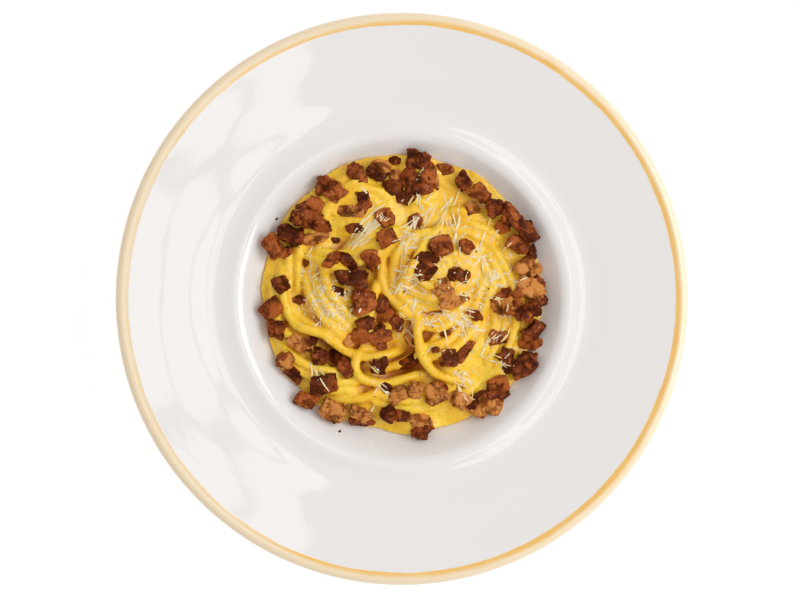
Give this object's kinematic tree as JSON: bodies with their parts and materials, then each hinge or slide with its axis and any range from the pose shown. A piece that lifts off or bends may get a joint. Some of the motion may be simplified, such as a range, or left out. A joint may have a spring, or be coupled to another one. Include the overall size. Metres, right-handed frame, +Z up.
{
  "type": "plate of spaghetti carbonara",
  "caption": "Round wide-rimmed pasta plate with a deep well full of sauced spaghetti, topped with fried guanciale chips and grated cheese.",
  "frame": {"origin": "centre of the foot ring, on the surface that the plate stands on", "axes": "+Z up out of the well; +X right and +Y away as the dish is looked down on"},
  "size_m": [0.2698, 0.2698, 0.038],
  "materials": {
    "white_glaze": "gloss",
    "sauced_pasta": "satin",
    "guanciale_dark": "satin",
    "guanciale_brown": "satin",
    "guanciale_red": "satin",
    "guanciale_amber": "satin"
  },
  "bodies": {
    "root": {"plate": "white_glaze", "spaghetti": "sauced_pasta", "guanciale_01": "guanciale_brown", "guanciale_02": "guanciale_red", "guanciale_03": "guanciale_dark", "guanciale_04": "guanciale_dark", "guanciale_05": "guanciale_red", "guanciale_06": "guanciale_brown", "guanciale_07": "guanciale_dark", "guanciale_08": "guanciale_dark", "guanciale_09": "guanciale_dark", "guanciale_10": "guanciale_dark", "guanciale_11": "guanciale_red", "guanciale_12": "guanciale_brown", "guanciale_13": "guanciale_brown", "guanciale_14": "guanciale_red", "guanciale_15": "guanciale_dark", "guanciale_16": "guanciale_dark", "guanciale_17": "guanciale_amber", "guanciale_18": "guanciale_dark", "guanciale_19": "guanciale_red", "guanciale_20": "guanciale_dark", "guanciale_21": "guanciale_dark", "guanciale_22": "guanciale_red", "guanciale_23": "guanciale_dark", "guanciale_24": "guanciale_amber", "guanciale_25": "guanciale_amber", "guanciale_26": "guanciale_red", "guanciale_27": "guanciale_dark", "guanciale_28": "guanciale_dark", "guanciale_29": "guanciale_dark", "guanciale_30": "guanciale_brown", "guanciale_31": "guanciale_dark", "guanciale_32": "guanciale_dark", "guanciale_33": "guanciale_dark", "guanciale_34": "guanciale_brown", "guanciale_35": "guanciale_amber", "guanciale_36": "guanciale_amber", "guanciale_37": "guanciale_dark", "guanciale_38": "guanciale_amber", "guanciale_39": "guanciale_amber", "guanciale_40": "guanciale_dark", "guanciale_41": "guanciale_dark", "guanciale_42": "guanciale_amber", "guanciale_43": "guanciale_amber", "guanciale_44": "guanciale_dark", "guanciale_45": "guanciale_red", "guanciale_46": "guanciale_amber", "guanciale_47": "guanciale_dark", "guanciale_48": "guanciale_red", "guanciale_49": "guanciale_dark", "guanciale_50": "guanciale_red", "guanciale_51": "guanciale_dark", "guanciale_52": "guanciale_amber", "guanciale_53": "guanciale_dark", "guanciale_54": "guanciale_red", "guanciale_55": "guanciale_red", "guanciale_56": "guanciale_dark", "guanciale_57": "guanciale_brown"}
  },
  "joints": []
}
